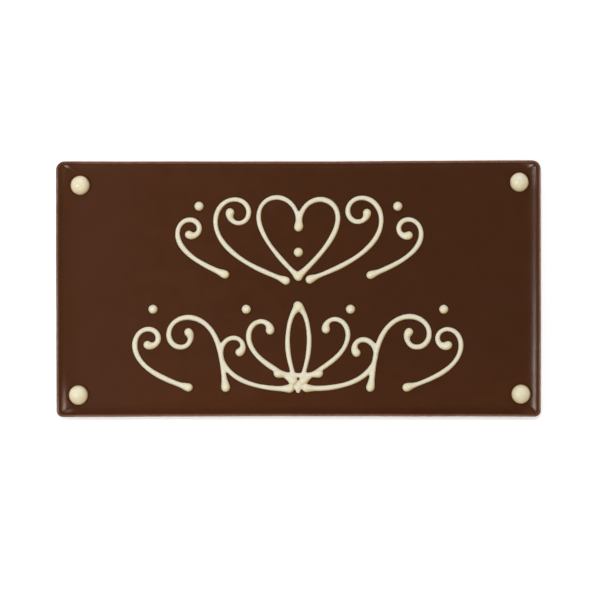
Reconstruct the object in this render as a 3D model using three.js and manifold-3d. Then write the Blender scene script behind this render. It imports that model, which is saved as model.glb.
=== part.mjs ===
// A cast chocolate bar, poured side up, with a flourish piped on it in white chocolate and a domed dot of
// the same in each corner. Millimetres, +Z up. The origin is on the surface that the bar lies on, under its
// middle; the bar's length runs along X.
import * as THREE from "three";
import { mergeVertices } from "three/addons/utils/BufferGeometryUtils.js";
import Module from "manifold-3d";

// The bar
const LENGTH = 200;
const WIDTH = 105.8;
const FIELD = 7.5; // height of the flat top face
const CORNER_RADII = [2.8, 3.4, 3.8, 2.7]; // anticlockwise from the front right corner
const DRAFT = 0.7; // the side wall leans in by this much on its way down
const FOOT_RADIUS = 1.5;

// The mould is a little out of true: how far each corner strays, in the same order, how far the long sides
// bow in at their middle, and how far the outline waves
const CORNER_SHIFTS = [[0.09, -0.02], [0.06, 0.15], [-0.09, -0.3], [0.29, -0.15]];
const LONG_SIDE_BOW = 0.29;
const WAVINESS = 0.05;

// The lip: chocolate that crept up the wall of the mould as it set
const LIP_HEIGHT = 0.9; // above the field
const LIP_INSET = 1.2; // from the outer edge to the crest
const LIP_SHOULDER = 1.1; // the worn outer edge starts this far below the crest
const LIP_SPREAD = 1; // scale of the hollow slope from the crest down to the field
const LIP_REACH = 3.4; // the slope has died out this far in from the crest
const INNER_CORNER = 1.2; // least corner radius of the slope's contour lines

// Piped line, laid on the field as a flattened cord
const LINE_WIDTH = 2.2;
const BLOB_WIDTH = 3.7; // where the bag stops at the end of a stroke
const BLOB_REACH = 2.6; // scale of the swelling towards that end
const PIPE_FLATNESS = 0.84; // height of the cord over its width
const PIPE_LIFT = 0.2; // height of its middle above the field, over its width
const SMALL_DOT_WIDTH = 3.8;

// How far the hand strays, in mm for places and as a share of what varies for the rest
const HAND_SHIFT = 0.35;
const HAND_BEND = 0.03;
const HAND_WIDTH = 0.06;
const HAND_WIDTH_WAVE = 17; // mm of line from one thick place to the next

// Corner dots: part of an ellipsoid, cut flat where it sits on the field
const DOT_HALF_HEIGHT = 3.2;
const DOT_MIDDLE = 1.6; // height of its widest place above the field
const CORNER_DOTS = [
  { name: "dot_back_left", at: [-90, 42.6], size: [7.9, 7.9] },
  { name: "dot_back_right", at: [91.1, 43.9], size: [7.7, 7.9] },
  { name: "dot_front_left", at: [-90.7, -43.9], size: [7.9, 8] },
  { name: "dot_front_right", at: [91.8, -43.5], size: [7.8, 7.9] },
];

// How finely the solids are cut
const CORNER_STEPS = 5;
const LONG_SIDE_STEPS = 12;
const SHORT_SIDE_STEPS = 6;
const FOOT_STEPS = 2;
const SHOULDER_STEPS = 3;
const SLOPE_PLACES = [0.13, 0.26, 0.42, 0.64]; // as shares of the slope's reach
const TRAIL_STEPS = 160; // a stroke's middle line is followed this finely before it is cut
const PIPE_SIDES = 8;
const PIPE_STEP = 5; // mm along a straight stroke
const PIPE_TURN_STEP = 30; // degrees round a curl
const SMALL_DOT_SIDES = 10;
const SMALL_DOT_STEPS = 6;
const DOT_SIDES = 18;
const DOT_STEPS = 6;

// The right half of the flourish. A stroke goes from its start to its end, and its bends say how it curls
// on the way: degrees turned in one stroke length, at evenly spaced places, with left turns positive. An
// open start has no blob. The left half is the mirror image, as nearly as a hand draws it.
const HEART = { start: [0, 25.5], end: [0, 5], bends: [-140, -420, -500, -120, -40, -30] };
const TALL_SCROLL = { start: [5, 3.4], end: [28, 31.5], bends: [-40, 60, 120, 330, 560, 900, 1300] };
const SIDE_SCROLL = { start: [30, 5.5], end: [45.5, 22], bends: [20, 40, 140, 420, 700, 1100] };
const BUD = { start: [0, -42], end: [0, -7], bends: [-30, 30, 60, 60, 260], openStart: true };
const PETAL = { start: [2, -38], end: [11.5, -17], bends: [-60, 30, 160, 400, 800] };
const VINE = { start: [3.5, -41], end: [24, -26.5], bends: [60, 60, 130, 260, 600, 1100] };
const CREST = { start: [30, -41], end: [45.5, -18], bends: [60, -60, -240, -420, -700, -1100] };
const END_SCROLL = { start: [45, -40.5], end: [62, -23.5], bends: [60, 40, 160, 360, 700, 1100] };
const MIRRORED_STROKES = [HEART, TALL_SCROLL, SIDE_SCROLL, BUD, PETAL, VINE, CREST, END_SCROLL];
const BUD_TIE = { start: [-8.5, -35], end: [8.5, -35], bends: [20, 20] };
const SMALL_DOTS = [[0, 15], [-41, 34], [41, 34], [-21.5, -8.5], [21.5, -8.5], [-60, -8.5], [60, -8.5]];

const CHOCOLATE = new THREE.MeshStandardMaterial({ color: 0x4a2a1a, roughness: 0.42, metalness: 0 });
const WHITE_CHOCOLATE = new THREE.MeshStandardMaterial({ color: 0xe4dab8, roughness: 0.45, metalness: 0 });

const wasm = await Module();
wasm.setup();

function toSolid(geometry) {
  geometry.deleteAttribute("normal");
  geometry.deleteAttribute("uv");
  const merged = mergeVertices(geometry, 1e-4);
  const vertProperties = merged.attributes.position.array;
  const triVerts = new Uint32Array(merged.index.array);
  return new wasm.Manifold(new wasm.Mesh({ numProp: 3, vertProperties, triVerts }));
}

function toGeometry(solid) {
  const mesh = solid.getMesh();
  const geometry = new THREE.BufferGeometry();
  geometry.setAttribute("position", new THREE.BufferAttribute(mesh.vertProperties, 3));
  geometry.setIndex(new THREE.BufferAttribute(mesh.triVerts, 1));
  geometry.computeVertexNormals();
  return geometry;
}

// A number from -1 to 1 that looks random and is the same each time for the same key.
function stray(key) {
  const spread = Math.sin(key * 12.9898) * 43758.5453;
  return 2 * (spread - Math.floor(spread)) - 1;
}

// How far the outline lies outside the straight one at a share of the way round: a slow wave and a quicker
// one. Both have an even number of crests, so opposite places match.
function waviness(share) {
  const slow = Math.cos(6 * 2 * Math.PI * share + 0.7);
  const quick = Math.cos(14 * 2 * Math.PI * share + 2.1);
  return WAVINESS * (0.6 * slow + 0.4 * quick);
}

// Where the mould's true shape puts a point of the plan.
function outOfTrue({ x, y }) {
  const u = x / (LENGTH / 2);
  const v = y / (WIDTH / 2);
  const shares = [(1 + u) * (1 - v), (1 + u) * (1 + v), (1 - u) * (1 + v), (1 - u) * (1 - v)];
  const shift = (axis) => shares.reduce((sum, share, i) => sum + (share / 4) * CORNER_SHIFTS[i][axis], 0);
  const bow = LONG_SIDE_BOW * (1 - u * u) * v;
  return new THREE.Vector2(x + shift(0), y + shift(1) - bow);
}

// The places round a rounded rectangle: at each corner those of its arc, then those of the side after it.
function roundedRectanglePlaces() {
  const places = [];
  for (let corner = 0; corner < 4; corner++) {
    for (let step = 0; step <= CORNER_STEPS; step++) {
      places.push({ corner, arc: step / CORNER_STEPS, along: 0 });
    }
    const sideSteps = corner % 2 ? LONG_SIDE_STEPS : SHORT_SIDE_STEPS;
    for (let step = 1; step < sideSteps; step++) {
      places.push({ corner, arc: 1, along: step / sideSteps });
    }
  }
  return places;
}

// A point on the rounded rectangle that lies a distance inside the outline, anticlockwise from the front
// right corner.
function roundedRectanglePoint({ corner, arc, along }, inset) {
  const radiusAt = (index) => Math.max(CORNER_RADII[index % 4] - inset, INNER_CORNER);
  const centreAt = (index) =>
    new THREE.Vector2(
      (index % 4 < 2 ? 1 : -1) * (LENGTH / 2 - inset - radiusAt(index)),
      (index % 4 === 1 || index % 4 === 2 ? 1 : -1) * (WIDTH / 2 - inset - radiusAt(index)),
    );
  const centre = centreAt(corner).lerp(centreAt(corner + 1), along);
  const radius = THREE.MathUtils.lerp(radiusAt(corner), radiusAt(corner + 1), along);
  const angle = (corner - 1 + arc) * (Math.PI / 2);
  return new THREE.Vector2(Math.cos(angle), Math.sin(angle)).multiplyScalar(radius).add(centre);
}

// The bar's section from under its middle, out round the edge and back to the middle of the field: how far
// each point lies in from the outer edge, and its height.
function edgeSection() {
  const crest = FIELD + LIP_HEIGHT;
  const quarter = (steps) => Array.from({ length: steps + 1 }, (_, i) => (i / steps) * (Math.PI / 2));
  const foot = quarter(FOOT_STEPS).map((a) => [
    DRAFT + FOOT_RADIUS * (1 - Math.sin(a)),
    FOOT_RADIUS * (1 - Math.cos(a)),
  ]);
  const shoulder = quarter(SHOULDER_STEPS).map((a) => [
    LIP_INSET * (1 - Math.cos(a)),
    crest - LIP_SHOULDER * (1 - Math.sin(a)),
  ]);
  const slope = SLOPE_PLACES.map((share) => {
    const distance = share * LIP_REACH;
    return [LIP_INSET + distance, FIELD + LIP_HEIGHT / Math.cosh(distance / LIP_SPREAD)];
  });
  return [...foot, ...shoulder, ...slope, [LIP_INSET + LIP_REACH, FIELD]];
}

// A turned disc with the bar's section, its rings then drawn out to rounded rectangles.
function barBody() {
  const section = edgeSection();
  const rim = section.map(([inset, height]) => new THREE.Vector2(WIDTH / 2 - inset, height));
  const profile = [new THREE.Vector2(0, 0), ...rim, new THREE.Vector2(0, FIELD)];
  const places = roundedRectanglePlaces();
  const geometry = new THREE.LatheGeometry(profile, places.length);
  const position = geometry.attributes.position;
  for (let i = 0; i < position.count; i++) {
    const row = i % profile.length;
    const column = Math.floor(i / profile.length) % places.length;
    const height = profile[row].y;
    if (row === 0 || row === profile.length - 1) {
      position.setXYZ(i, 0, 0, height);
      continue;
    }
    const inset = section[row - 1][0] - waviness(column / places.length);
    const point = outOfTrue(roundedRectanglePoint(places[column], inset));
    position.setXYZ(i, point.x, point.y, height);
  }
  return toSolid(geometry);
}

// The middle line of a stroke as equal small steps, and the turn in each. Its bends are drawn from the
// origin, then turned and scaled onto its start and end.
function strokeTrail({ start, end, bends }) {
  const origin = new THREE.Vector2();
  const drawn = [origin];
  const turns = [];
  let heading = 0;
  for (let i = 0; i < TRAIL_STEPS; i++) {
    const place = ((i + 0.5) / TRAIL_STEPS) * (bends.length - 1);
    const knot = Math.floor(place);
    const bend = THREE.MathUtils.lerp(bends[knot], bends[knot + 1], place - knot);
    const turn = THREE.MathUtils.degToRad(bend) / TRAIL_STEPS;
    const middle = heading + turn / 2;
    drawn.push(new THREE.Vector2(Math.cos(middle), Math.sin(middle)).add(drawn[i]));
    turns.push(turn);
    heading += turn;
  }
  const from = new THREE.Vector2(...start);
  const reach = new THREE.Vector2(...end).sub(from);
  const last = drawn[TRAIL_STEPS];
  const step = reach.length() / last.length();
  const angle = reach.angle() - last.angle();
  const points = drawn.map((p) => p.clone().rotateAround(origin, angle).multiplyScalar(step).add(from));
  return { points, turns, step };
}

// Place and direction at a distance along a trail, which goes straight on past its ends.
function onTrail({ points, step }, distance) {
  const index = THREE.MathUtils.clamp(Math.floor(distance / step), 0, TRAIL_STEPS - 1);
  const point = points[index].clone().lerp(points[index + 1], distance / step - index);
  const before = points[Math.max(index - 1, 0)];
  const after = points[Math.min(index + 2, TRAIL_STEPS)];
  return { point, direction: after.clone().sub(before).normalize() };
}

// Distances along a trail at which the cord gets a section, closer together where it curls.
function stations({ turns, step }) {
  const curl = THREE.MathUtils.degToRad(PIPE_TURN_STEP);
  const costs = turns.map((turn) => step / PIPE_STEP + Math.abs(turn) / curl);
  const total = costs.reduce((sum, cost) => sum + cost);
  const share = total / Math.ceil(total);
  const found = [0];
  let spent = 0;
  costs.forEach((cost, i) => {
    spent += cost;
    if (spent > found.length * share - 1e-9) found.push((i + 1) * step);
  });
  return found;
}

// A piped stroke: a turned spindle of the cord's changing width, flattened and bent along the stroke.
function pipedStroke(stroke, key) {
  const trail = strokeTrail(stroke);
  const length = trail.step * TRAIL_STEPS;
  const line = LINE_WIDTH * (1 + HAND_WIDTH * stray(key));
  const swell = (distance) => Math.exp(-((distance / BLOB_REACH) ** 2));
  const widthAt = (distance) => {
    const wave = Math.sin((2 * Math.PI * distance) / HAND_WIDTH_WAVE + key);
    const blobs = (stroke.openStart ? 0 : swell(distance)) + swell(length - distance);
    return line * (1 + HAND_WIDTH * wave) + (BLOB_WIDTH - line) * blobs;
  };
  const [first, last] = [widthAt(0) / 2, widthAt(length) / 2];
  const halfway = Math.SQRT1_2; // of a round end, by angle
  const outline = [
    [0, -first],
    [first * halfway, -first * halfway],
    ...stations(trail).map((distance) => [widthAt(distance) / 2, distance]),
    [last * halfway, length + last * halfway],
    [0, length + last],
  ];
  const profile = outline.map(([radius, along]) => new THREE.Vector2(radius, along));
  const geometry = new THREE.LatheGeometry(profile, PIPE_SIDES);
  const position = geometry.attributes.position;
  for (let i = 0; i < position.count; i++) {
    const distance = outline[i % outline.length][1];
    const { point, direction } = onTrail(trail, distance);
    const aside = position.getX(i);
    const middle = PIPE_LIFT * widthAt(THREE.MathUtils.clamp(distance, 0, length));
    const height = FIELD + middle + PIPE_FLATNESS * position.getZ(i);
    position.setXYZ(i, point.x + aside * direction.y, point.y - aside * direction.x, height);
  }
  return toSolid(geometry);
}

// The stroke as the hand draws it: ends a little off, bends a little more or less than meant.
function handDrawn(stroke, mirror, key) {
  const place = ([x, y], salt) => [
    mirror * x + HAND_SHIFT * stray(key + salt),
    y + HAND_SHIFT * stray(key + 2 * salt),
  ];
  const scale = mirror * (1 + HAND_BEND * stray(key + 0.3));
  return {
    ...stroke,
    start: place(stroke.start, 0.1),
    end: place(stroke.end, 0.2),
    bends: stroke.bends.map((bend) => bend * scale),
  };
}

function smallDot([x, y]) {
  const geometry = new THREE.SphereGeometry(SMALL_DOT_WIDTH / 2, SMALL_DOT_SIDES, SMALL_DOT_STEPS);
  geometry.rotateX(Math.PI / 2);
  geometry.scale(1, 1, PIPE_FLATNESS);
  geometry.translate(x, y, FIELD + PIPE_LIFT * SMALL_DOT_WIDTH);
  return toSolid(geometry);
}

function flourish() {
  const strokes = MIRRORED_STROKES.flatMap((stroke, i) => [
    pipedStroke(handDrawn(stroke, 1, 2 * i + 1), 2 * i + 1),
    pipedStroke(handDrawn(stroke, -1, 2 * i + 2), 2 * i + 2),
  ]);
  return [...strokes, pipedStroke(BUD_TIE, 0), ...SMALL_DOTS.map(smallDot)];
}

function bar() {
  const solid = flourish().reduce((joined, stroke) => joined.add(stroke), barBody());
  const mesh = new THREE.Mesh(toGeometry(solid), CHOCOLATE);
  mesh.name = "bar";
  return mesh;
}

function cornerDot({ name, at, size }) {
  const lowest = -Math.asin(DOT_MIDDLE / DOT_HALF_HEIGHT);
  const profile = [new THREE.Vector2(0, 0), new THREE.Vector2(Math.cos(lowest), 0)];
  for (let i = 1; i < DOT_STEPS; i++) {
    const angle = THREE.MathUtils.lerp(lowest, Math.PI / 2, i / DOT_STEPS);
    profile.push(new THREE.Vector2(Math.cos(angle), DOT_MIDDLE + DOT_HALF_HEIGHT * Math.sin(angle)));
  }
  profile.push(new THREE.Vector2(0, DOT_MIDDLE + DOT_HALF_HEIGHT));
  const geometry = new THREE.LatheGeometry(profile, DOT_SIDES);
  geometry.rotateX(Math.PI / 2);
  geometry.scale(size[0] / 2, size[1] / 2, 1);
  const mesh = new THREE.Mesh(toGeometry(toSolid(geometry)), WHITE_CHOCOLATE);
  mesh.name = name;
  mesh.position.set(...at, FIELD);
  return mesh;
}

const chocolateBar = new THREE.Group();
chocolateBar.add(bar(), ...CORNER_DOTS.map(cornerDot));

export default chocolateBar;
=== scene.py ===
# A cast chocolate bar, poured side up, with a flourish piped on it in white chocolate and a domed dot of the
# same in each corner. Metres, +Z up. The origin is on the surface that the bar lies on, under its middle, and
# the bar's length runs along X.
import cmath
import math
from typing import NamedTuple

import bmesh
import bpy
from bpy.props import FloatProperty, FloatVectorProperty, IntProperty, PointerProperty
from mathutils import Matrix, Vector


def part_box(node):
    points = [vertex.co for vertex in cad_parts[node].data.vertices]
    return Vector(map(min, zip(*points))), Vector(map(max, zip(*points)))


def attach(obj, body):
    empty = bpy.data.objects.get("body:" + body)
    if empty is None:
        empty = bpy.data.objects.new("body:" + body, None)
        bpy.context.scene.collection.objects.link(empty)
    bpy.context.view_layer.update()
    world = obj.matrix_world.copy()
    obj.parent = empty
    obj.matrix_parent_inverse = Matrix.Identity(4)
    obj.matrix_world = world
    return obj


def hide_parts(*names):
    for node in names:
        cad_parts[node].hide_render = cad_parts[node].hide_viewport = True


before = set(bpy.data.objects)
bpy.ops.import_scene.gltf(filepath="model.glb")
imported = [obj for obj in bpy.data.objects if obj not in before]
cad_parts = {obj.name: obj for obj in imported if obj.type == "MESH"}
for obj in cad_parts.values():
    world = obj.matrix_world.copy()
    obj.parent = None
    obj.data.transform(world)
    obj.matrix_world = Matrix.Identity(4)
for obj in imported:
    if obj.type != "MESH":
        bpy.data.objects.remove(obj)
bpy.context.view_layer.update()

bl_info = {
    "name": "Piped Chocolate Bar",
    "version": (1, 0, 0),
    "blender": (4, 5, 0),
    "location": "3D View > Sidebar > Chocolate",
    "description": "A cast bar of chocolate with piping and corner dots of white chocolate",
    "category": "Add Mesh",
}

MM = 0.001

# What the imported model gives: the nodes of the corner dots, and the height of the field that they stand on
CORNER_DOTS = sorted(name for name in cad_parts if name.startswith("dot_"))
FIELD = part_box(CORNER_DOTS[0])[0].z

# The mould is a little out of true: how far each corner strays, in mm
CORNER_SHIFTS = {
    (1, -1): (0.09, -0.02),
    (1, 1): (0.06, 0.15),
    (-1, 1): (-0.08, -0.3),
    (-1, -1): (0.14, -0.15),
}

# How many rows of faces each stretch of the bar's section has
UNDERSIDE_ROWS = 4
FOOT_ROWS = 6
WALL_ROWS = 6
SHOULDER_ROWS = 10
SLOPE_ROWS = 16
FIELD_ROWS = 16

# How the hand strays as it pipes, in mm for places and as a share of what varies for the rest
HAND_SHIFT = 0.35
HAND_BEND = 0.03
HAND_WIDTH = 0.06
HAND_WIDTH_WAVE = 17  # mm of line from one thick place to the next
TRAIL_STEPS = 160
END_STEPS = 10  # round each end of a stroke


class Stroke(NamedTuple):
    """A piped stroke in mm. Its bends say how it curls on the way from its start to its end: degrees turned
    in one stroke length, at evenly spaced places, with left turns positive. An open start has no blob."""

    start: tuple
    end: tuple
    bends: tuple
    open_start: bool = False


class Tone(NamedTuple):
    """A tone that grows along a measure: where it begins, where it is complete, and how strong it then is."""

    begins: float
    complete: float
    strength: float

    def over(self, measure):
        """How strong the tone is, for a wire of that measure."""
        return self.strength * measure.rise(self.begins, self.complete)


# The right half of the flourish; the left half is the mirror image, as nearly as a hand draws it
HEART = Stroke((0, 25.5), (0, 5), (-140, -420, -500, -120, -40, -30))
TALL_SCROLL = Stroke((5, 3.4), (28, 31.5), (-40, 60, 120, 330, 560, 900, 1300))
SIDE_SCROLL = Stroke((30, 5.5), (45.5, 22), (20, 40, 140, 420, 700, 1100))
BUD = Stroke((0, -42), (0, -7), (-30, 30, 60, 60, 260), open_start=True)
PETAL = Stroke((2, -38), (11.5, -17), (-60, 30, 160, 400, 800))
VINE = Stroke((3.5, -41), (24, -26.5), (60, 60, 130, 260, 600, 1100))
CREST = Stroke((30, -41), (45.5, -18), (60, -60, -240, -420, -700, -1100))
END_SCROLL = Stroke((45, -40.5), (62, -23.5), (60, 40, 160, 360, 700, 1100))
UPPER_ROW = (HEART, TALL_SCROLL, SIDE_SCROLL)
LOWER_ROW = (BUD, PETAL, VINE, CREST, END_SCROLL)
BUD_TIE = Stroke((-8.5, -35), (8.5, -35), (20, 20))
UPPER_DROPS = ((0, 15), (-41, 34), (41, 34))
LOWER_DROPS = ((-21.5, -8.5), (21.5, -8.5), (-60, -8.5), (60, -8.5))


def linear(red, green, blue):
    """A colour given as 0 to 255 on a screen, as Blender's linear values."""
    shares = (red / 255, green / 255, blue / 255)
    return tuple(s / 12.92 if s <= 0.04045 else ((s + 0.055) / 1.055) ** 2.4 for s in shares)


def length(name, description, millimetres):
    return FloatProperty(name=name, description=description, default=millimetres * MM, unit="LENGTH")


def colour(name, description, screen):
    value = linear(*screen)
    return FloatVectorProperty(name=name, description=description, default=value, size=3, subtype="COLOR")


def power(name, description, watts):
    return FloatProperty(name=name, description=description, default=watts, unit="POWER")


def factor(name, description, default):
    return FloatProperty(name=name, description=description, default=default, subtype="FACTOR")


def brightness(name, description, default):
    return FloatProperty(name=name, description=description, default=default)


class BarSettings(bpy.types.PropertyGroup):
    """Sizes of the cast bar."""

    length: length("Length", "Along the straight middle of the bar", 199.94)
    width: length("Width", "Across the bar, before the long sides bow in", 105.8)
    back_radius: length("Back Radius", "Radius of the two back corners", 3.6)
    front_radius: length("Front Radius", "Radius of the two front corners", 2.75)
    inner_corner: length("Inner Corner", "Least corner radius of the slope inside the lip", 0.9)
    draft: length("Draft", "How far the side wall leans in on its way down", 0.7)
    foot: length("Foot", "Radius where the wall meets the underside", 1.5)
    lip_height: length("Lip Height", "How far the lip stands above the field at its highest", 1.2)
    lip_least: factor("Least Lip", "Height of the lip at the front and left, as a share of its highest", 0.42)
    lip_right: factor("Right Lip", "Height of the lip at the front of the right side, as such a share", 0.57)
    lip_corner: length("Lip Corner", "About how far the corners' higher lip reaches along a short side", 28)
    lip_inset: length("Lip Inset", "From the outer edge to the crest of the lip", 1.2)
    lip_shoulder: length("Lip Shoulder", "Drop from the crest to the outer edge", 1.1)
    lip_back: factor("Back Lip", "Height of the lip along the back side, as such a share", 0.22)
    left_stretch: factor("Left Stretch", "How much wider the slope inside the lip is at the left", 0.5)
    right_stretch: factor("Right Stretch", "How much wider it is at the right", 0.12)
    back_stretch: factor("Back Stretch", "How much wider it is at the back, narrower if negative", -0.2)
    lip_spread: length("Lip Spread", "Scale of the hollow slope from the crest to the field", 1.4)
    lip_reach: length("Lip Reach", "From the crest to where the slope has died out", 6)
    bow: length("Bow", "How far the long sides bow in at their middle", 0.29)
    waviness: length("Waviness", "How far the cast outline waves", 0.05)
    crumble: length("Crumble", "How far the rim's small dents and bumps stray", 0.05)
    swell: length("Swell", "How far the field rises and dips", 0.03)
    columns: IntProperty(name="Columns", description="Faces round the outline", default=1200)


class PipingSettings(bpy.types.PropertyGroup):
    """Sizes of the piped white chocolate."""

    line_width: length("Line Width", "Width of the piped line", 2.2)
    blob_width: length("Blob Width", "Width where the bag stops at the end of a stroke", 3.7)
    blob_reach: length("Blob Reach", "Scale of the swelling towards the end of a stroke", 2.6)
    drop_width: length("Drop Width", "Width of a single small drop", 4.0)
    flatness: factor("Flatness", "Height of the cord over its width", 0.84)
    lift: factor("Lift", "Height of the cord's middle above the field, over its width", 0.2)
    voxel: length("Voxel", "Cell size at which the strokes flow together", 0.235)
    pooling: IntProperty(name="Pooling", description="How often the surface is smoothed", default=7)
    ripple: length("Ripple", "How far the piped surface is uneven", 0.05)


class DotSettings(bpy.types.PropertyGroup):
    """Form of the corner dots."""

    half_height: length("Half Height", "Half of the whole ellipsoid's height", 3.2)
    middle: length("Middle", "Height of the widest place above the field", 1.6)
    sunk: length("Sunk", "How deep the dot reaches into the chocolate", 0.15)
    unevenness: factor("Unevenness", "How far the dome is out of true, as a share of its size", 0.022)
    segments: IntProperty(name="Segments", description="Faces round a dot", default=96)


class FinishSettings(bpy.types.PropertyGroup):
    """Colours of the two kinds of chocolate and the floor."""

    dark: colour("Dark", "Chocolate of the bar", (63, 32, 12))
    # Partly painted light: this colour gives the random redder patches and also paints the bar's front
    # lighter and redder
    warm_patches_and_painted_lit_front: colour("Dark Warm", "Redder patches in the bar, and its front", (71, 35, 13))
    # Painted sheen: a greyer, lighter chocolate at the left end stands in for a sheen and more light there
    painted_left_sheen: colour("Painted Left Sheen", "Faintly greyer chocolate at the left end", (65, 34, 16))
    rim: colour("Rim", "Rubbed chocolate on the outer edge", (113, 77, 61))
    dots: colour("Dots", "White chocolate of the corner dots", (212, 205, 180))
    shaded: colour("Shaded", "White chocolate at the dots' foot and on sides in the shade", (190, 155, 78))
    piping: colour("Piping", "White chocolate of the piping where it is thick", (210, 203, 174))
    piping_thin: colour("Piping Thin", "The same where it is thin", (201, 198, 184))
    floor: colour("Floor", "The pale surface below", (247, 247, 247))


class StageSettings(bpy.types.PropertyGroup):
    """Camera and light."""

    aim: FloatVectorProperty(name="Aim", description="Where the camera looks", size=2, unit="LENGTH",
                             default=(0.68 * MM, -4.69 * MM))
    camera_height: length("Camera Height", "Above the field", 2400)
    view_width: length("View Width", "How much of the field's plane the picture spans", 247.6)
    key_light: power("Key Light", "Compact light at the left", 11.5)
    side_light: power("Side Light", "Weaker compact light at the right", 7.5)
    back_light: power("Back Light", "Soft light behind the bar", 7)
    front_light: power("Front Light", "Weaker compact light in front of the bar", 5.5)
    window_light: power("Window Light", "Wide soft light at the left, brighter at that end", 0.7)
    ceiling_light: power("Ceiling Light", "Soft light overhead, a little behind", 19)
    horizon: brightness("Horizon", "Brightness of the walls round the table", 0.4)
    zenith: brightness("Zenith", "Brightness of the ceiling", 0.03)
    floor_glow: brightness("Floor Glow", "Light that shines through the floor", 0.19)


class Lamp(NamedTuple):
    """An area light: its direction in degrees from straight up, its distance and size in metres, whether it
    is mirrored in a gloss, whether it casts shadows, and its colour."""

    right: float
    back: float
    distance: float
    size: float
    mirrored: bool = True
    shadows: bool = True
    tint: tuple = (1, 1, 1)


LAMPS = {
    "key_light": Lamp(-26.5, -6, 2.2, 0.45),
    "side_light": Lamp(31, 1, 2.2, 0.4, tint=(1, 0.92, 0.82)),
    "back_light": Lamp(3, 44, 2.2, 1.0),
    "front_light": Lamp(0, -29, 2.2, 0.45),
    "window_light": Lamp(-40, 4, 0.5, 0.3, mirrored=False, shadows=False),
    "ceiling_light": Lamp(0, 10.5, 2.2, 0.35, mirrored=False),
}

# Half the floor's side and how far the camera sees, in metres. Then the upward part of a direction at which
# the studio is all ceiling, and the one at which it is all wall.
FLOOR_REACH = 3
CAMERA_SIGHT = 10
CEILING_TO_WALLS = (0.75, 0.2)

SETTINGS = {
    "bar": BarSettings,
    "piping": PipingSettings,
    "dots": DotSettings,
    "finish": FinishSettings,
    "stage": StageSettings,
}


def operator(operation, reflected=False):
    """A method that adds one Math node to the tree of the wire it is called on."""

    def method(wire, other):
        pair = (other, wire) if reflected else (wire, other)
        return wire.graph.add("ShaderNodeMath", {"operation": operation}, dict(enumerate(pair)))

    return method


class Wire:
    """An output socket of a node. Sums of wires add Math nodes to their tree."""

    def __init__(self, graph, socket):
        self.graph = graph
        self.socket = socket

    __add__ = operator("ADD")
    __radd__ = operator("ADD", reflected=True)
    __sub__ = operator("SUBTRACT")
    __rsub__ = operator("SUBTRACT", reflected=True)
    __mul__ = operator("MULTIPLY")
    __rmul__ = operator("MULTIPLY", reflected=True)
    __truediv__ = operator("DIVIDE")
    __mod__ = operator("FLOORED_MODULO")
    at_least = operator("MAXIMUM")
    at_most = operator("MINIMUM")

    def apply(self, operation):
        """A Math node of one value, such as SINE."""
        return self.graph.add("ShaderNodeMath", {"operation": operation}, {0: self})

    def rise(self, low, high):
        """Smoothly from 0 at low to 1 at high, or down where low is above high."""
        settings = {"interpolation_type": "SMOOTHSTEP"}
        return self.graph.add("ShaderNodeMapRange", settings, {"Value": self, 1: low, 2: high})

    def output(self, name):
        """Another output of the same node."""
        return Wire(self.graph, self.socket.node.outputs[name])


class Graph:
    """Adds nodes to one shader or geometry tree."""

    def __init__(self, tree):
        self.tree = tree

    def add(self, kind, settings=None, sockets=None):
        """Add a node with its settings, then give its sockets values or wires, and return its first output
        that is in use."""
        node = self.tree.nodes.new(kind)
        for name, value in (settings or {}).items():
            setattr(node, name, value)
        for key, value in (sockets or {}).items():
            if isinstance(value, Wire):
                self.tree.links.new(value.socket, node.inputs[key])
            else:
                node.inputs[key].default_value = value
        used = [socket for socket in node.outputs if socket.enabled]
        return Wire(self, used[0]) if used else node

    def vector(self, x, y, z):
        return self.add("ShaderNodeCombineXYZ", None, {0: x, 1: y, 2: z})

    def axes(self, vector):
        """The three parts of a vector."""
        split = self.add("ShaderNodeSeparateXYZ", None, {0: vector})
        return split, split.output("Y"), split.output("Z")

    def noise(self, vector, size, detail=2.0, offset=0.0):
        """Noise from -1 to 1 with lumps of about a size."""
        moved = self.add("ShaderNodeVectorMath", {"operation": "ADD"}, {0: vector, 1: (offset,) * 3})
        sockets = {"Vector": moved, "Scale": 1 / size, "Detail": detail}
        return self.add("ShaderNodeTexNoise", None, sockets) * 2 - 1

    def mix(self, share, first, second):
        """One colour turning into another."""
        sockets = {0: share, 6: as_colour(first), 7: as_colour(second)}
        return self.add("ShaderNodeMix", {"data_type": "RGBA"}, sockets)


def as_colour(value):
    return value if isinstance(value, Wire) else (*value, 1)


def geometry_tree(name, inputs):
    """A Geometry Nodes tree with named inputs, as its graph, and a wire for each input."""
    tree = bpy.data.node_groups.new(name, "GeometryNodeTree")
    tree.interface.new_socket("Geometry", in_out="OUTPUT", socket_type="NodeSocketGeometry")
    for label, kind in inputs.items():
        tree.interface.new_socket(label, in_out="INPUT", socket_type=f"NodeSocket{kind}")
    graph = Graph(tree)
    source = graph.add("NodeGroupInput")
    return graph, {label: source.output(label) for label in inputs}


def end_tree(graph, geometry, material):
    """Close a tree: shade smooth, make instances real, give the material and pass the geometry out."""
    smooth = graph.add("GeometryNodeSetShadeSmooth", None, {"Geometry": geometry})
    real = graph.add("GeometryNodeRealizeInstances", None, {"Geometry": smooth})
    dressed = graph.add("GeometryNodeSetMaterial", None, {"Geometry": real, "Material": material})
    graph.add("NodeGroupOutput", None, {0: dressed})


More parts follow.
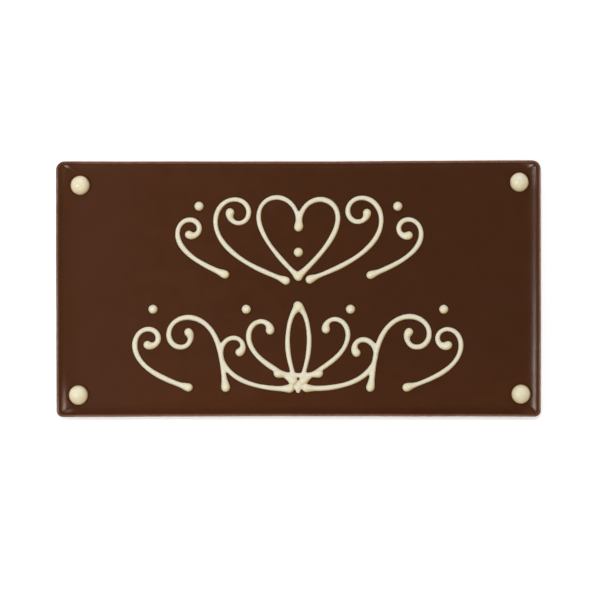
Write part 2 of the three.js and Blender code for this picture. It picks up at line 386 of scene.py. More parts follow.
def grow(name, start, tree, sizes):
    """Run a tree on a starting mesh, and return an object with the result as its plain mesh."""
    piece = bpy.data.objects.new(name, start)
    bpy.context.scene.collection.objects.link(piece)
    modifier = piece.modifiers.new("Shape", "NODES")
    modifier.node_group = tree
    identifiers = {item.name: item.identifier for item in tree.interface.items_tree if item.in_out == "INPUT"}
    for label, value in sizes.items():
        modifier[identifiers[label]] = value
    depsgraph = bpy.context.evaluated_depsgraph_get()
    mesh = bpy.data.meshes.new_from_object(piece.evaluated_get(depsgraph), depsgraph=depsgraph)
    piece.modifiers.remove(modifier)
    piece.data = mesh
    mesh.name = name
    check_closed(name, mesh)
    return piece


def check_closed(name, mesh):
    """Stop if a finished mesh has an open edge or faces that point in."""
    solid = bmesh.new()
    solid.from_mesh(mesh)
    open_edges = sum(not edge.is_manifold for edge in solid.edges)
    volume = solid.calc_volume(signed=True)
    triangles = sum(len(face.verts) - 2 for face in solid.faces)
    solid.free()
    print(f"{name}: {triangles} triangles, {volume / MM**3:.0f} mm3, {open_edges} open edges")
    if open_edges or volume <= 0:
        raise RuntimeError(f"{name} isn't a closed mesh with its faces pointing out")


def line_mesh(name, lines, attributes=()):
    """A mesh of open lines. Each point is (x, y, z) and then a value for each named attribute."""
    points = [point for line in lines for point in line]
    edges = []
    first = 0
    for line in lines:
        edges += [(i, i + 1) for i in range(first, first + len(line) - 1)]
        first += len(line)
    mesh = bpy.data.meshes.new(name)
    mesh.from_pydata([point[:3] for point in points], edges, [])
    for i, attribute in enumerate(attributes):
        values = mesh.attributes.new(attribute, "FLOAT", "POINT")
        values.data.foreach_set("value", [point[3 + i] for point in points])
    return mesh


# 1 makes the lip's shoulder a quarter of an ellipse, and less fills out its corner
SHOULDER_BULGE = 0.55

# 1 spaces the slope's rows evenly, and more crowds them next to the crest
SLOPE_CROWDING = 1.4


def edge_section(bar):
    """The bar's section from under its middle, out round the edge and back to the middle of the field: how
    far each point lies in from the outer edge, and its height."""
    half_width = bar.width / 2
    crest = FIELD + bar.lip_height

    def shares(rows):
        return [i / rows for i in range(rows + 1)]

    def slope(distance):
        spread = bar.lip_spread
        last = 1 / math.cosh(bar.lip_reach / spread)
        return FIELD + bar.lip_height * (1 / math.cosh(distance / spread) - last) / (1 - last)

    points = []
    foot_inset = bar.draft + bar.foot
    for share in shares(UNDERSIDE_ROWS)[:-1]:
        points.append((half_width + (foot_inset - half_width) * share, 0))
    for share in shares(FOOT_ROWS):
        angle = share * math.pi / 2
        points.append((bar.draft + bar.foot * (1 - math.sin(angle)), bar.foot * (1 - math.cos(angle))))
    wall_top = crest - bar.lip_shoulder
    for share in shares(WALL_ROWS)[1:-1]:
        points.append((bar.draft * (1 - share), bar.foot + (wall_top - bar.foot) * share))
    for share in shares(SHOULDER_ROWS):
        angle = share * math.pi / 2
        drop = bar.lip_shoulder * (1 - math.sin(angle)**SHOULDER_BULGE)
        points.append((bar.lip_inset * (1 - math.cos(angle)**SHOULDER_BULGE), crest - drop))
    for share in shares(SLOPE_ROWS)[1:]:
        distance = bar.lip_reach * share**SLOPE_CROWDING
        points.append((bar.lip_inset + distance, slope(distance)))
    field_inset = bar.lip_inset + bar.lip_reach
    for share in shares(FIELD_ROWS)[1:]:
        points.append((field_inset + (half_width - field_inset) * share, FIELD))
    return points


# How the outline waves, slowly and quickly: how often round the bar, and from which phase. Even numbers make
# opposite places wave alike.
SLOW_WAVES, SLOW_PHASE = 6, 0.7
QUICK_WAVES, QUICK_PHASE = 14, 2.1
SLOW_SHARE = 0.6

# Sizes of the lumps in the casting
DENT_SIZE = 1.7 * MM
CRUMB_SIZE = 2.3 * MM
LIP_LUMP_SIZE = 14 * MM
SWELL_SIZE = 16 * MM

# From where to where things fade in, by the distance in from the outer edge and, for the last, by height
UNEVEN_EDGE = (8 * MM, 2 * MM)
STRETCHED_SLOPE = (25 * MM, 7.2 * MM)
CRUMBLY_LIP = (1.6 * MM, 0.9 * MM)
UPPER_FACE = (5 * MM, 7.3 * MM)

# How squarely a place of the outline faces a side to count as part of it, and from which share of the half
# length on it is near an end
FACING = (0.2, 0.9)
NEAR_END = 0.7

# How high the lip stands next to the corners, as shares of its highest, and the share that it loses along the
# front side
FRONT_LEFT_LIP = 1
BACK_LEFT_LIP = 0.62
RIGHT_CORNER_LIP = 0.6
LESS_IN_FRONT = 0.2

# How far along a short side that reaches, as shares of the given length, and how many times sooner it ends
# along a long side
FRONT_CORNER_REACH = 0.96
BACK_CORNER_REACH = 0.4
LONG_SIDE_PACE = 2.5

# The share of its extra height that the right side's lip has at the back, the share that it gains on the way
# to the front, and from where to where it does, with the half width as 1
RIGHT_LIP_BACK = 0.3
RIGHT_LIP_GAIN = 0.75
RIGHT_LIP_CLIMB = (0.6, -0.8)

# How unevenly the lip stands, as a share of its height
LIP_UNEVENNESS = 0.07

# The settings of the bar that its tree takes as they are
CASTING_SIZES = (
    "back_radius", "front_radius", "inner_corner", "bow", "waviness", "crumble", "swell", "lip_least",
    "lip_right", "lip_back", "lip_corner", "lip_inset", "lip_reach", "left_stretch", "right_stretch",
    "back_stretch",
)


def label_of(setting):
    """The name of a tree's input for a setting."""
    return setting.replace("_", " ").title()


def front_to_back(along, front, back):
    """A value that changes evenly from the bar's front, where along is -1, to its back, where it is 1."""
    return (front + back) / 2 - (front - back) / 2 * along


def cast_bar_tree():
    """A section swept round a rounded rectangle. The section comes in as a line whose x is how far it lies
    in from the outline and whose y is its height."""
    graph, given = geometry_tree("Cast Bar", {
        "Section": "Geometry",
        "Half Length": "Float",
        "Half Width": "Float",
        "Field Height": "Float",
        **{label_of(setting): "Float" for setting in CASTING_SIZES},
        "Columns": "Int",
        "Material": "Material",
    })
    half_length = given["Half Length"]
    half_width = given["Half Width"]

    # The outline, from the middle of its right side round anticlockwise: how far along the two sides each
    # point is, as a share from their middles to the corner arc, and the direction outwards
    index = graph.add("GeometryNodeInputIndex")
    share = index / given["Columns"]
    right = (share * (2 * math.pi)).apply("COSINE").apply("SIGN")
    back = (share * (2 * math.pi)).apply("SINE").apply("SIGN")
    mean_radius = (given["Back Radius"] + given["Front Radius"]) / 2
    side = half_width - mean_radius
    end = half_length - mean_radius
    quarter = side + end + (math.pi / 2) * mean_radius
    walked = ((share + 0.25) % 0.5 - 0.25).apply("ABSOLUTE") * 4 * quarter
    angle = ((walked - side) / mean_radius).at_least(0).at_most(math.pi / 2)
    past_corner = (walked - side - (math.pi / 2) * mean_radius).at_least(0)
    before_corner = (side - walked).at_least(0)
    across = right * (1 - past_corner / end)
    along = back * (1 - before_corner / side)
    outward = graph.vector(angle.apply("COSINE") * right, angle.apply("SINE") * back, 0)

    slow = (share * (SLOW_WAVES * 2 * math.pi) + SLOW_PHASE).apply("COSINE")
    quick = (share * (QUICK_WAVES * 2 * math.pi) + QUICK_PHASE).apply("COSINE")
    wave = given["Waviness"] * (SLOW_SHARE * slow + (1 - SLOW_SHARE) * quick)

    # Each point of the swept mesh keeps what its column knows of the outline and its row of the section
    outline = graph.add("GeometryNodeCurvePrimitiveCircle", None, {"Resolution": given["Columns"]})
    outline, shares, outward, wave, from_corner = captured(graph, outline, {
        "Shares": ("VECTOR", graph.vector(across, along, 0)),
        "Outward": ("VECTOR", outward),
        "Wave": ("FLOAT", wave),
        "From Corner": ("FLOAT", LONG_SIDE_PACE * past_corner + before_corner),
    })
    section = graph.add("GeometryNodeMeshToCurve", None, {"Mesh": given["Section"]})
    inset, height, _ = graph.axes(graph.add("GeometryNodeInputPosition"))
    fields = {"Inset": ("FLOAT", inset), "Height": ("FLOAT", height)}
    section, inset, height = captured(graph, section, fields)
    swept = graph.add("GeometryNodeCurveToMesh", None, {"Curve": outline, "Profile Curve": section})
    faced = graph.add("GeometryNodeFlipFaces", None, {"Mesh": swept})

    # Small dents and bumps on the rim and the wall
    across, along, _ = graph.axes(shares)
    out_x, out_y, _ = graph.axes(outward)
    rough_place = graph.vector(across * half_length, along * half_width, height)
    dents = graph.noise(rough_place, DENT_SIZE, detail=3, offset=3.1) * given["Crumble"]
    inset_here = inset - inset.rise(*UNEVEN_EDGE) * (wave + dents)

    # The ring at each inset has its own corner radius, and shrinks onto the bar's middle line. The rings of
    # the slope lie further in at the left, a little further in at the right, and less far in at the back.
    radius = given["Front Radius"] + along.rise(-1, 1) * (given["Back Radius"] - given["Front Radius"])
    ring = (radius - inset_here).at_least(given["Inner Corner"]).at_most(half_width - inset)
    down_slope = (inset - given["Lip Inset"]).at_least(0).at_most(given["Lip Reach"])
    stretchable = down_slope * inset.rise(*STRETCHED_SLOPE)
    at_left = given["Left Stretch"] * across.rise(0, -1)
    at_right = given["Right Stretch"] * across.rise(0, 1)
    stretch_x = stretchable * (at_left + at_right)
    stretch_y = stretchable * given["Back Stretch"] * along.rise(0, 1)
    straight_x = across * (half_length - inset_here - stretch_x - ring) + out_x * ring
    straight_y = along * (half_width - inset_here - stretch_y - ring) + out_y * ring
    x, y = out_of_true(straight_x, straight_y, given)

    # The lip stands lowest along the back, rises along the right side to the front, and is higher next to the
    # corners, most of all at the front left. The field rises and dips a little.
    lift = height - given["Field Height"]
    flat_place = graph.vector(x, y, 0)
    least = given["Lip Least"] + out_y.rise(*FACING) * (given["Lip Back"] - given["Lip Least"])
    forward = RIGHT_LIP_BACK + RIGHT_LIP_GAIN * along.rise(*RIGHT_LIP_CLIMB)
    right_lip = out_x.rise(*FACING) * forward * (given["Lip Right"] - least)
    near_left = across.rise(-NEAR_END, -1)
    near_right = across.rise(NEAR_END, 1)
    left_corner_lip = front_to_back(along, FRONT_LEFT_LIP, BACK_LEFT_LIP)
    corner_height = left_corner_lip * near_left + RIGHT_CORNER_LIP * near_right - least
    corner_reach = given["Lip Corner"] * front_to_back(along, FRONT_CORNER_REACH, BACK_CORNER_REACH)
    corner_lip = from_corner.rise(corner_reach, 0) * corner_height
    corner_lip = corner_lip * (1 - LESS_IN_FRONT * out_y.rise(0, -1))
    lip = least + right_lip.at_least(corner_lip)
    uneven_lip = lip * (1 + LIP_UNEVENNESS * graph.noise(flat_place, LIP_LUMP_SIZE, offset=7.7))
    swell = graph.noise(flat_place, SWELL_SIZE, detail=1, offset=1.3) * given["Swell"]
    crumbs = graph.noise(flat_place, CRUMB_SIZE, detail=3, offset=9.4) * given["Crumble"]
    raised = lift.at_least(0) * (uneven_lip - 1) + swell + inset.rise(*CRUMBLY_LIP) * crumbs
    place = graph.vector(x, y, height + height.rise(*UPPER_FACE) * raised)
    shaped = graph.add("GeometryNodeSetPosition", None, {"Geometry": faced, "Position": place})
    sockets = {"Geometry": marked(graph, shaped, "inset", inset), "Distance": 0.001 * MM}
    closed = graph.add("GeometryNodeMergeByDistance", None, sockets)
    end_tree(graph, closed, given["Material"])
    return graph.tree


def out_of_true(x, y, given):
    """Where a point of the plan lies in the real mould: each corner strays, and the long sides bow in."""
    u = x / given["Half Length"]
    v = y / given["Half Width"]
    bow = given["Bow"] * (1 - u * u) * v
    shift_x = 0
    shift_y = 0
    for (right, back), shift in CORNER_SHIFTS.items():
        share = (1 + right * u) * (1 + back * v) / 4
        shift_x = share * (shift[0] * MM) + shift_x
        shift_y = share * (shift[1] * MM) + shift_y
    return x + shift_x, y + shift_y - bow


def captured(graph, geometry, fields):
    """Fix fields on a curve's points: the geometry with them, and a wire for each field."""
    node = graph.tree.nodes.new("GeometryNodeCaptureAttribute")
    graph.tree.links.new(geometry.socket, node.inputs["Geometry"])
    for name, (kind, _) in fields.items():
        node.capture_items.new(kind, name)
    for name, (_, field) in fields.items():
        graph.tree.links.new(field.socket, node.inputs[name])
    return [Wire(graph, node.outputs[name]) for name in ("Geometry", *fields)]


# These bring out the last digits of a sine, which look random from one key to the next
STRAY_PACE = 12.9898
STRAY_SCALE = 43758.5453


def stray(key):
    """A number from -1 to 1 that looks random and is the same each time for the same key."""
    spread = math.sin(key * STRAY_PACE) * STRAY_SCALE
    return 2 * (spread - math.floor(spread)) - 1


def hand_drawn(stroke, mirror, key):
    """The stroke as the hand draws it: ends a little off, bends a little more or less than meant."""

    def place(point, salt):
        x, y = point
        return (mirror * x + HAND_SHIFT * stray(key + salt), y + HAND_SHIFT * stray(key + 2 * salt))

    scale = mirror * (1 + HAND_BEND * stray(key + 0.3))
    bends = tuple(bend * scale for bend in stroke.bends)
    return Stroke(place(stroke.start, 0.1), place(stroke.end, 0.2), bends, stroke.open_start)


def stroke_trail(stroke):
    """The middle line of a stroke as equal steps of complex numbers, in metres. Its bends are drawn from the
    origin, then turned and scaled onto its start and end."""
    drawn = [0j]
    heading = 0
    for i in range(TRAIL_STEPS):
        place = (i + 0.5) / TRAIL_STEPS * (len(stroke.bends) - 1)
        knot = int(place)
        bend = stroke.bends[knot] + (stroke.bends[knot + 1] - stroke.bends[knot]) * (place - knot)
        turn = math.radians(bend) / TRAIL_STEPS
        drawn.append(drawn[i] + cmath.rect(1, heading + turn / 2))
        heading += turn
    start = complex(*stroke.start) * MM
    fit = (complex(*stroke.end) * MM - start) / drawn[-1]
    return [start + fit * point for point in drawn]


def cord(trail, width_at, lift):
    """The points of a cord along a trail with round ends: x, y, 0, its width and the height of its middle."""
    step = abs(trail[1] - trail[0])
    whole = step * (len(trail) - 1)
    ends = ((trail[0], trail[0] - trail[1], 0), (trail[-1], trail[-1] - trail[-2], whole))
    caps = []
    for end, beyond, distance in ends:
        width = width_at(distance)
        cap = []
        for i in range(1, END_STEPS + 1):
            angle = i / END_STEPS * math.pi / 2
            place = end + beyond / abs(beyond) * width / 2 * math.sin(angle)
            cap.append((place.real, place.imag, 0, width * math.cos(angle), lift * width))
        caps.append(cap)
    widths = [width_at(i * step) for i in range(len(trail))]
    body = [(p.real, p.imag, 0, width, lift * width) for p, width in zip(trail, widths)]
    first_cap, last_cap = caps
    return first_cap[::-1] + body + last_cap


def piped_stroke(stroke, key, piping):
    """A stroke's cord: the line swells into a blob where the bag stops, and its width wanders a little."""
    trail = stroke_trail(stroke)
    whole = abs(trail[1] - trail[0]) * TRAIL_STEPS
    line = piping.line_width * (1 + HAND_WIDTH * stray(key))

    def swell(distance):
        return math.exp(-((distance / piping.blob_reach) ** 2))

    def width_at(distance):
        wave = math.sin(2 * math.pi * distance / (HAND_WIDTH_WAVE * MM) + key)
        blobs = (0 if stroke.open_start else swell(distance)) + swell(whole - distance)
        return line * (1 + HAND_WIDTH * wave) + (piping.blob_width - line) * blobs

    return cord(trail, width_at, piping.lift)


# Length of a drop's cord between its round ends
DROP_LENGTH = 0.02 * MM


def drop(place, piping):
    """A single small drop, as a cord too short to see."""
    middle = complex(*place) * MM
    return cord([middle, middle + DROP_LENGTH], lambda distance: piping.drop_width, piping.lift)


def piped_row(strokes, first_key, piping):
    """The cords of a row of strokes, each with its mirror image."""
    cords = []
    for i, stroke in enumerate(strokes):
        for mirror, key in ((1, first_key + 2 * i), (-1, first_key + 2 * i + 1)):
            cords.append(piped_stroke(hand_drawn(stroke, mirror, key), key, piping))
    return cords


# Faces round a cord, how deep under its surface it is filled, and the size of its ripples
CORD_FACES = 24
FILLED_BAND = 0.5 * MM
RIPPLE_SIZE = 5 * MM

# The shaded tone of the piping: on its sides away from the light, and more weakly on all its flanks
AWAY_FROM_LIGHT = Tone(0.1, 1.1, 0.6)
FLANKS = Tone(0.8, 0.2, 0.2)


def piping_tree():
    """Round cords swept along lines, flattened onto the field and run together where they touch."""
    graph, given = geometry_tree("Piping", {
        "Lines": "Geometry",
        "Field Height": "Float",
        "Flatness": "Float",
        "Voxel": "Float",
        "Pooling": "Int",
        "Ripple": "Float",
        "Material": "Material",
    })
    trail = graph.add("GeometryNodeMeshToCurve", None, {"Mesh": given["Lines"]})
    upright = graph.add("GeometryNodeSetCurveNormal", {"mode": "Z_UP"}, {"Curve": trail})

    # The ring is 1 wide, so its scale is the cord's width
    sockets = {"Resolution": CORD_FACES, "Radius": 0.5}
    ring = graph.add("GeometryNodeCurvePrimitiveCircle", None, sockets)
    sockets = {"Curve": upright, "Profile Curve": ring, "Scale": named(graph, "width")}
    swept = graph.add("GeometryNodeCurveToMesh", None, sockets)
    x, y, z = graph.axes(graph.add("GeometryNodeInputPosition"))
    height = given["Field Height"] + named(graph, "middle") + given["Flatness"] * z
    place = graph.vector(x, y, height)
    laid = graph.add("GeometryNodeSetPosition", None, {"Geometry": swept, "Position": place})
    settings = {"resolution_mode": "VOXEL_SIZE"}
    sockets = {"Mesh": laid, "Voxel Size": given["Voxel"], "Interior Band Width": FILLED_BAND}
    filled = graph.add("GeometryNodeMeshToVolume", settings, sockets)
    sockets = {"Volume": filled, "Threshold": 0.1}
    fused = graph.add("GeometryNodeVolumeToMesh", {"resolution_mode": "GRID"}, sockets)
    position = graph.add("GeometryNodeInputPosition")
    sockets = {"Value": position, "Iterations": given["Pooling"]}
    pooled = graph.add("GeometryNodeBlurAttribute", {"data_type": "FLOAT_VECTOR"}, sockets)
    smooth = graph.add("GeometryNodeSetPosition", None, {"Geometry": fused, "Position": pooled})
    ripple = graph.noise(position, RIPPLE_SIZE, detail=0) * given["Ripple"]
    normal = graph.add("GeometryNodeInputNormal")
    push = graph.add("ShaderNodeVectorMath", {"operation": "SCALE"}, {0: normal, "Scale": ripple})
    uneven = graph.add("GeometryNodeSetPosition", None, {"Geometry": smooth, "Offset": push})
    facing_x, facing_y, facing_z = graph.axes(normal)
    shade = AWAY_FROM_LIGHT.over(facing_x - facing_y) + FLANKS.over(facing_z)
    end_tree(graph, marked(graph, uneven, "shade", shade), given["Material"])
    return graph.tree


def named(graph, name):
    return graph.add("GeometryNodeInputNamedAttribute", {"data_type": "FLOAT"}, {"Name": name})


def marked(graph, geometry, name, value):
    """Store a value on each point under a name, for the material to read."""
    settings = {"data_type": "FLOAT", "domain": "POINT"}
    return graph.add("GeometryNodeStoreNamedAttribute", settings, {0: geometry, "Name": name, "Value": value})


# Width of a dome over its solid's, the share of its unevenness that its height gives up to stay within the
# solid, the size of its lumps where its radius is 1, and the step from one dome's seed to the next
DOT_SPREAD = 1.02
HEIGHT_ALLOWANCE = 0.2
DOT_LUMP_SIZE = 1.1
SEED_STEP = 10.0

# How strong the shaded tone of a dome is all over, and how much stronger at the right and in front
DOT_SHADE = 0.1
DOT_SHADE_RIGHT = 0.2
DOT_SHADE_FRONT = 0.28


def domed_dot_tree():
    """An ellipsoid cut flat a little below the field, slightly out of true."""
    graph, given = geometry_tree("Domed Dot", {
        "Start": "Geometry",
        "Centre": "Vector",
        "Half Size": "Vector",
        "Middle": "Float",
        "Sunk": "Float",
        "Unevenness": "Float",
        "Seed": "Float",
        "Segments": "Int",
        "Material": "Material",
    })
    sockets = {"Segments": given["Segments"], "Rings": given["Segments"] * 0.5, "Radius": 1}
    ball = graph.add("GeometryNodeMeshUVSphere", None, sockets)
    position = graph.add("GeometryNodeInputPosition")
    seed = graph.vector(given["Seed"], given["Seed"], given["Seed"])
    moved = graph.add("ShaderNodeVectorMath", {"operation": "ADD"}, {0: position, 1: seed})
    size = 1 + graph.noise(moved, DOT_LUMP_SIZE, detail=1) * given["Unevenness"]
    x, y, z = graph.axes(position)
    wide_x, wide_y, high = graph.axes(given["Half Size"])
    centre_x, centre_y, field = graph.axes(given["Centre"])
    height = (given["Middle"] + z * size * high).at_least(0 - given["Sunk"])
    place = graph.vector(centre_x + x * size * wide_x, centre_y + y * size * wide_y, field + height)
    shade = (DOT_SHADE + DOT_SHADE_RIGHT * x.at_least(0) - DOT_SHADE_FRONT * y).at_least(0)
    shaded = marked(graph, ball, "shade", shade)
    shaped = graph.add("GeometryNodeSetPosition", None, {"Geometry": shaded, "Position": place})
    end_tree(graph, shaped, given["Material"])
    return graph.tree


def new_material(name):
    """A material with one Principled shader, as its graph and that shader."""
    material = bpy.data.materials.new(name)
    material.use_nodes = True
    return material, Graph(material.node_tree), material.node_tree.nodes["Principled BSDF"]


def link(graph, shader, wires):
    for name, wire in wires.items():
        graph.tree.links.new(wire.socket, shader.inputs[name])


# Painted light and shade in the bar's chocolate, by the distance from its middle and, for the lip, in from
# its outer edge: a lighter, redder front, a greyer painted sheen at the left, painted shade towards the right
# and a paler lip at the right
PAINTED_LIGHT_FRONT = Tone(-20 * MM, -48 * MM, 0.5)
PAINTED_LEFT_SHEEN = Tone(-55 * MM, -85 * MM, 0.8)
PAINTED_SHADE_RIGHT = Tone(-60 * MM, 60 * MM, 0.14)
PAINTED_LIGHT_RIGHT_LIP = Tone(2.6 * MM, 1.3 * MM, 0.09)

# How strong the redder patches are, and from where to where along the bar its ends set in
REDDER_PATCHES = 0.35
BAR_ENDS = (90 * MM, 95 * MM)

# The rubbed outer edge: from where to where it fades in, how rubbed it is at least, and how much less so at
# the ends of the bar
RUBBED_EDGE = (1.1 * MM, 0.7 * MM)
LEAST_RUBBED = 0.65
LESS_RUBBED_ENDS = 0.45

# Painted shade in the hollow inside the lip: from where to where it fades in, and out again, each with how
# much sooner that is at the ends of the bar, and where it stops short of the back. Then how dark the painted
# shade is, and how much less so at the right.
HOLLOW_IN = (0.9 * MM, 1.5 * MM)
HOLLOW_OUT = ((5 * MM, 2.2 * MM), (2 * MM, 0.9 * MM))
SHORT_OF_BACK = (51 * MM, 44 * MM)
HOLLOW_SHADE = 0.22
LESS_SHADE_RIGHT = 0.18


def dark_chocolate(finish):
    """Satin chocolate with random redder patches and a rubbed outer edge. Painted light makes its front
    lighter and redder and its right lip paler, a painted sheen makes its left end greyer, and painted shade
    darkens the hollow inside the lip and the right end."""
    material, graph, shader = new_material("Dark Chocolate")
    place = graph.add("ShaderNodeTexCoord").output("Object")
    across, along, _ = graph.axes(place)
    patches = graph.noise(place, size=6 * MM, detail=3).rise(-0.35, 0.35)
    # Random redder patches, and painted light that makes the front lighter and redder
    redder = REDDER_PATCHES * patches + PAINTED_LIGHT_FRONT.over(along)
    base = graph.mix(redder, finish.dark, finish.warm_patches_and_painted_lit_front)
    # Painted sheen and light: the left end turns greyer and lighter
    base = graph.mix(PAINTED_LEFT_SHEEN.over(across), base, finish.painted_left_sheen)
    ends = across.apply("ABSOLUTE").rise(*BAR_ENDS)
    right_end = across.rise(*BAR_ENDS)
    inset = graph.add("ShaderNodeAttribute", {"attribute_name": "inset"}).output("Fac")
    worn = graph.noise(place, size=2.2 * MM, detail=4, offset=5.3).rise(-0.5, 0.4)
    rubbed = LEAST_RUBBED + (1 - LEAST_RUBBED) * worn
    rim = inset.rise(*RUBBED_EDGE) * rubbed * (1 - LESS_RUBBED_ENDS * ends)
    # Painted light: the lip at the right end turns paler towards the rim colour
    rim = rim + PAINTED_LIGHT_RIGHT_LIP.over(inset) * right_end
    # Painted shade in the hollow inside the lip
    fade_out = [usual - sooner * ends for usual, sooner in HOLLOW_OUT]
    hollow = inset.rise(*HOLLOW_IN) * inset.rise(*fade_out)
    hollow = hollow * along.rise(*SHORT_OF_BACK) * (HOLLOW_SHADE - LESS_SHADE_RIGHT * right_end)
    # Painted shade: the hollow inside the lip and the bar towards its right end darken towards black
    shade = hollow + PAINTED_SHADE_RIGHT.over(across)
    grain = graph.noise(place, size=0.45 * MM, detail=3, offset=2.2)
    bump = graph.add("ShaderNodeBump", None, {"Strength": 0.25, "Distance": 0.03 * MM, "Height": grain})
    link(graph, shader, {
        "Base Color": graph.mix(rim, graph.mix(shade, base, (0, 0, 0)), finish.rim),
        "Roughness": 0.24 + 0.03 * graph.noise(place, size=9 * MM, offset=4.4),
        "Normal": bump,
    })
    shader.inputs["Specular IOR Level"].default_value = 0.5
    shader.inputs["Specular Tint"].default_value = (1, 0.93, 0.87, 1)
    return material


def white_chocolate(name, full, foot, shaded, full_height, roughness):
    """White chocolate with a soft skin, in another tone towards its foot and in a third on shaded sides."""
    material, graph, shader = new_material(name)
    place = graph.add("ShaderNodeTexCoord").output("Object")
    _, _, height = graph.axes(place)
    thick = height.rise(FIELD, FIELD + full_height)
    shade = graph.add("ShaderNodeAttribute", {"attribute_name": "shade"}).output("Fac")
    clouds = graph.noise(place, size=2.4 * MM, detail=3)
    grain = graph.noise(place, size=0.8 * MM, detail=2, offset=6.1)
    bump = graph.add("ShaderNodeBump", None, {"Strength": 0.05, "Distance": 0.03 * MM, "Height": grain})
    lit = graph.mix((thick + 0.03 * clouds).at_least(0), foot, full)
    link(graph, shader, {
        "Base Color": graph.mix(shade, lit, shaded),
        "Roughness": roughness + 0.03 * clouds,
        "Normal": bump,
    })
    shader.inputs["Specular IOR Level"].default_value = 0.46
    return material


# Brightness of the floor's grain where it is darkest, as a share of the rest
DIM_GRAIN = 0.99


def floor_material(finish, glow):
    """A pale matt surface with a faint grain, lit a little from below as a light table is."""
    material, graph, shader = new_material("Pale Floor")
    place = graph.add("ShaderNodeTexCoord").output("Object")
    grain = graph.noise(place, size=20 * MM, detail=2).rise(-1, 1)
    dim = tuple(value * DIM_GRAIN for value in finish.floor)
    shader.inputs["Roughness"].default_value = 0.9
    shader.inputs["Specular IOR Level"].default_value = 0.2
    shader.inputs["Emission Color"].default_value = (1, 1, 1, 1)
    shader.inputs["Emission Strength"].default_value = glow
    link(graph, shader, {"Base Color": graph.mix(grain, dim, finish.floor)})
    return material


def finished(piece, slot, *nodes):
    """Put a finished piece under the root body and hide the imported nodes that it stands for."""
    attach(piece, "root")
    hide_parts(*nodes)


class CHOCOLATE_OT_bar_body(bpy.types.Operator):
    """Cast the bar: its edge section swept round its outline"""

    bl_idname = "chocolate.bar_body"
    bl_label = "Bar Body"

    def execute(self, context):
        bar = context.scene.chocolate_bar
        section = [(inset, height, 0) for inset, height in edge_section(bar)]
        piece = grow("bar_body", line_mesh("section", [section]), cast_bar_tree(), {
            "Half Length": bar.length / 2,
            "Half Width": bar.width / 2,
            "Field Height": FIELD,
            **{label_of(setting): getattr(bar, setting) for setting in CASTING_SIZES},
            "Columns": bar.columns,
            "Material": dark_chocolate(context.scene.chocolate_finish),
        })
        finished(piece, "chocolate", "bar")
        return {"FINISHED"}


class CHOCOLATE_OT_piping(bpy.types.Operator):
    """Pipe the two rows of the flourish"""

    bl_idname = "chocolate.piping"
    bl_label = "Piping"

    def execute(self, context):
        piping = context.scene.chocolate_piping
        upper = piped_row(UPPER_ROW, 1, piping) + [drop(place, piping) for place in UPPER_DROPS]
        lower = piped_row(LOWER_ROW, 1 + 2 * len(UPPER_ROW), piping) + [piped_stroke(BUD_TIE, 0, piping)]
        lower += [drop(place, piping) for place in LOWER_DROPS]
        finish = context.scene.chocolate_finish
        material = white_chocolate("White Chocolate Piping", finish.piping, finish.piping_thin, finish.shaded,
                                   full_height=2.4 * MM, roughness=0.36)
        tree = piping_tree()
        for name, cords in (("piping_upper", upper), ("piping_lower", lower)):
            piece = grow(name, line_mesh(name, cords, ("width", "middle")), tree, {
                "Field Height": FIELD,
                "Flatness": piping.flatness,
                "Voxel": piping.voxel,
                "Pooling": piping.pooling,
                "Ripple": piping.ripple,
                "Material": material,
            })
            finished(piece, "white_chocolate", "bar")
        return {"FINISHED"}


class CHOCOLATE_OT_corner_dots(bpy.types.Operator):
    """Set a domed dot in each corner"""

    bl_idname = "chocolate.corner_dots"
    bl_label = "Corner Dots"

    def execute(self, context):
        dots = context.scene.chocolate_dots
        finish = context.scene.chocolate_finish
        material = white_chocolate("White Chocolate Dots", finish.dots, finish.shaded, finish.shaded,
                                   full_height=4.5 * MM, roughness=0.24)
        tree = domed_dot_tree()
        half_height = dots.half_height * (1 - HEIGHT_ALLOWANCE * dots.unevenness)
        for number, node in enumerate(CORNER_DOTS):
            low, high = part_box(node)
            half_x = (high.x - low.x) / 2 * DOT_SPREAD
            half_y = (high.y - low.y) / 2 * DOT_SPREAD
            piece = grow(f"corner_{node}", bpy.data.meshes.new("start"), tree, {
                "Centre": ((low.x + high.x) / 2, (low.y + high.y) / 2, FIELD),
                "Half Size": (half_x, half_y, half_height),
                "Middle": dots.middle,
                "Sunk": dots.sunk,
                "Unevenness": dots.unevenness,
                "Seed": SEED_STEP * number,
                "Segments": dots.segments,
                "Material": material,
            })
            finished(piece, "white_chocolate", node)
        return {"FINISHED"}


def area_light(name, energy):
    """A soft light that faces the middle of the bar and isn't seen itself, at most as a gloss."""
    given = LAMPS[name]
    across, along = math.tan(math.radians(given.right)), math.tan(math.radians(given.back))
    place = Vector((across, along, 1)).normalized() * given.distance
    lamp = bpy.data.lights.new(name, "AREA")
    lamp.shape = "DISK"
    lamp.size = given.size
    lamp.energy = energy
    lamp.color = given.tint
    lamp.use_shadow = given.shadows
    holder = bpy.data.objects.new(name, lamp)
    holder.location = place
    holder.rotation_euler = (-place).to_track_quat("-Z", "Y").to_euler()
    holder.visible_camera = False
    holder.visible_glossy = given.mirrored
    bpy.context.scene.collection.objects.link(holder)


def studio_world(stage):
    """Pale walls round the table and a darker ceiling."""
    world = bpy.data.worlds.new("Studio")
    world.use_nodes = True
    graph = Graph(world.node_tree)
    _, _, up = graph.axes(graph.add("ShaderNodeTexCoord"))
    background = world.node_tree.nodes["Background"]
    strength = stage.zenith + (stage.horizon - stage.zenith) * up.rise(*CEILING_TO_WALLS)
    link(graph, background, {"Strength": strength})
    background.inputs["Color"].default_value = (1, 1, 1, 1)
    bpy.context.scene.world = world


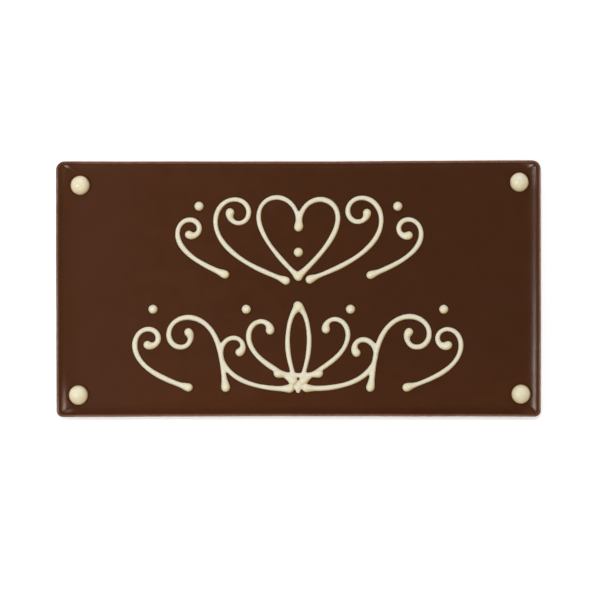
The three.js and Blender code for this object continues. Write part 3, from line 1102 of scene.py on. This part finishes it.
class CHOCOLATE_OT_stage(bpy.types.Operator):
    """Set up the pale floor, the camera above it and the soft lights"""

    bl_idname = "chocolate.stage"
    bl_label = "Stage"

    def execute(self, context):
        stage = context.scene.chocolate_stage
        mesh = bpy.data.meshes.new("floor")
        corners = [(x * FLOOR_REACH, y * FLOOR_REACH, 0) for x, y in ((-1, -1), (1, -1), (1, 1), (-1, 1))]
        mesh.from_pydata(corners, [], [(0, 1, 2, 3)])
        mesh.materials.append(floor_material(context.scene.chocolate_finish, stage.floor_glow))
        floor = bpy.data.objects.new("floor", mesh)
        context.scene.collection.objects.link(floor)

        camera = bpy.data.objects.new("camera", bpy.data.cameras.new("camera"))
        camera.data.lens = camera.data.sensor_width * stage.camera_height / stage.view_width
        camera.data.clip_end = CAMERA_SIGHT
        camera.location = (*stage.aim, FIELD + stage.camera_height)
        context.scene.collection.objects.link(camera)
        context.scene.camera = camera

        for name in LAMPS:
            area_light(name, getattr(stage, name))
        studio_world(stage)
        context.scene.view_settings.view_transform = "Standard"
        return {"FINISHED"}


OPERATORS = (CHOCOLATE_OT_bar_body, CHOCOLATE_OT_piping, CHOCOLATE_OT_corner_dots, CHOCOLATE_OT_stage)


class CHOCOLATE_PT_panel(bpy.types.Panel):
    """Lists the bar's settings and the steps that make it"""

    bl_idname = "CHOCOLATE_PT_panel"
    bl_label = "Chocolate Bar"
    bl_space_type = "VIEW_3D"
    bl_region_type = "UI"
    bl_category = "Chocolate"

    def draw(self, context):
        for group, kind in SETTINGS.items():
            box = self.layout.box()
            box.label(text=group.title())
            for name in kind.__annotations__:
                box.prop(getattr(context.scene, f"chocolate_{group}"), name)
        for step in OPERATORS:
            self.layout.operator(step.bl_idname)


def register():
    for group, kind in SETTINGS.items():
        bpy.utils.register_class(kind)
        setattr(bpy.types.Scene, f"chocolate_{group}", PointerProperty(type=kind))
    for kind in (*OPERATORS, CHOCOLATE_PT_panel):
        bpy.utils.register_class(kind)


def unregister():
    for kind in (CHOCOLATE_PT_panel, *OPERATORS):
        bpy.utils.unregister_class(kind)
    for group, kind in SETTINGS.items():
        delattr(bpy.types.Scene, f"chocolate_{group}")
        bpy.utils.unregister_class(kind)


def main():
    register()
    bpy.ops.chocolate.bar_body()
    bpy.ops.chocolate.piping()
    bpy.ops.chocolate.corner_dots()
    bpy.ops.chocolate.stage()


if __name__ == "__main__":
    main()
